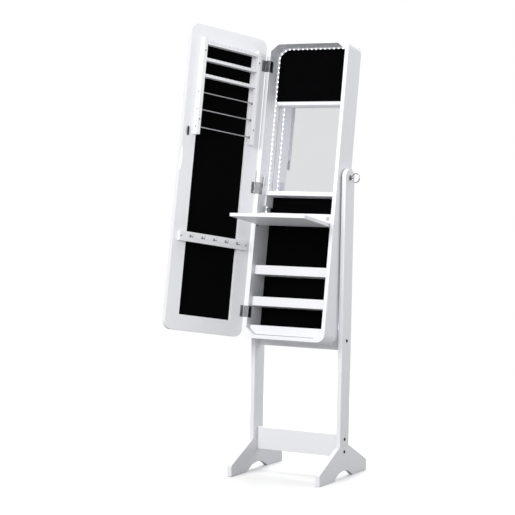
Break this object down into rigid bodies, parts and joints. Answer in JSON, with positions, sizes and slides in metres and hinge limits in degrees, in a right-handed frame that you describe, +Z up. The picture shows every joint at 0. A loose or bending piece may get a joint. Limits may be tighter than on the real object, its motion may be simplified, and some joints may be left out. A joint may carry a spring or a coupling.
{
  "type": "jewelry armoire",
  "caption": "Free-standing white jewelry armoire: tilting mirrored cabinet between two uprights, hinged door with jewelry holders inside, folding tray and lipped shelves.",
  "frame": {"origin": "on the floor, under the middle of the whole object's box with the door open as stored", "axes": "+Z up, +X to the object's right seen from its front, +Y to its back"},
  "size_m": [0.5124, 0.597, 1.4976],
  "materials": {
    "white_paint": "satin",
    "black_felt": "matte",
    "mirror_glass": "polished",
    "steel_fitting": "brushed",
    "chrome_wire": "polished",
    "led_tape": "satin",
    "grey_plastic": "matte",
    "white_hardboard": "matte"
  },
  "bodies": {
    "stand": {"left_upright": "white_paint", "left_foot": "white_paint", "left_pivot_bolt": "steel_fitting", "right_upright": "white_paint", "right_foot": "white_paint", "right_pivot_bolt": "steel_fitting", "lower_cross_board": "white_paint", "upper_cross_board": "white_paint", "ring_pin_housing": "steel_fitting"},
    "cabinet": {"cabinet_top": "white_paint", "cabinet_bottom": "white_paint", "cabinet_left_side": "white_paint", "cabinet_right_side": "white_paint", "back_panel": "white_hardboard", "divider_bar": "white_paint", "middle_shelf": "white_paint", "shelf_cleat_left": "white_paint", "shelf_cleat_right": "white_paint", "tray_level_shelf": "white_paint", "upper_lip_shelf": "white_paint", "lower_lip_shelf": "white_paint", "floor_lip_shelf": "white_paint", "inner_mirror": "mirror_glass", "lower_felt_panel": "black_felt", "raised_felt_panel": "black_felt", "battery_box": "grey_plastic", "led_tape": "led_tape", "cabinet_hinge_leaf_1": "steel_fitting", "cabinet_hinge_leaf_2": "steel_fitting", "cabinet_hinge_leaf_3": "steel_fitting", "tray_catch": "grey_plastic", "tray_stop_left": "steel_fitting", "tray_stop_right": "steel_fitting", "index_plate": "steel_fitting"},
    "door": {"door_frame": "white_paint", "door_felt_panel": "black_felt", "outer_mirror": "mirror_glass", "rail_hinge_side": "white_paint", "rail_free_side": "white_paint", "earring_bar_1": "white_paint", "earring_bar_2": "white_paint", "earring_bar_3": "white_paint", "necklace_rod_1": "chrome_wire", "necklace_rod_2": "chrome_wire", "necklace_rod_3": "chrome_wire", "hook_rail": "white_paint", "hook_1": "chrome_wire", "hook_2": "chrome_wire", "hook_3": "chrome_wire", "hook_4": "chrome_wire", "hook_5": "chrome_wire", "door_hinge_leaf_1": "steel_fitting", "door_hinge_leaf_2": "steel_fitting", "door_hinge_leaf_3": "steel_fitting", "lock_barrel": "chrome_wire"},
    "tray_body": {"tray": "white_paint"},
    "ring_pin_body": {"ring_pin": "chrome_wire"},
    "lock_cam_body": {"lock_cam": "steel_fitting"},
    "light_button_body": {"light_button": "grey_plastic"}
  },
  "joints": [
    {"name": "cabinet_tilt", "type": "hinge", "parent": "stand", "child": "cabinet", "pos_m": [0.04957, 0.10851, 0.95], "axis": [-1, 0, 0], "range_deg": [-2.5, 9]},
    {"name": "door_swing", "type": "hinge", "parent": "cabinet", "child": "door", "pos_m": [-0.10343, 0.04998, 1.00885], "axis": [0, -0.1495, -0.9888], "range_deg": [-29, 50]},
    {"name": "tray_fold", "type": "hinge", "parent": "cabinet", "child": "tray_body", "pos_m": [0.04957, 0.04207, 0.84155], "axis": [-1, 0, 0], "range_deg": [0, 90]},
    {"name": "ring_pin_pull", "type": "slide", "parent": "stand", "child": "ring_pin_body", "axis": [1, 0, 0], "range_m": [0, 0.008], "stiffness_N_per_m": 500, "springref_m": -0.004},
    {"name": "lock_turn", "type": "hinge", "parent": "door", "child": "lock_cam_body", "pos_m": [-0.23238, -0.18785, 1.14343], "axis": [0.891, -0.4489, 0.0679], "range_deg": [0, 90]},
    {"name": "light_button_press", "type": "slide", "parent": "cabinet", "child": "light_button_body", "axis": [0, 0.9888, -0.1495], "range_m": [0, 0.0015], "stiffness_N_per_m": 300}
  ]
}
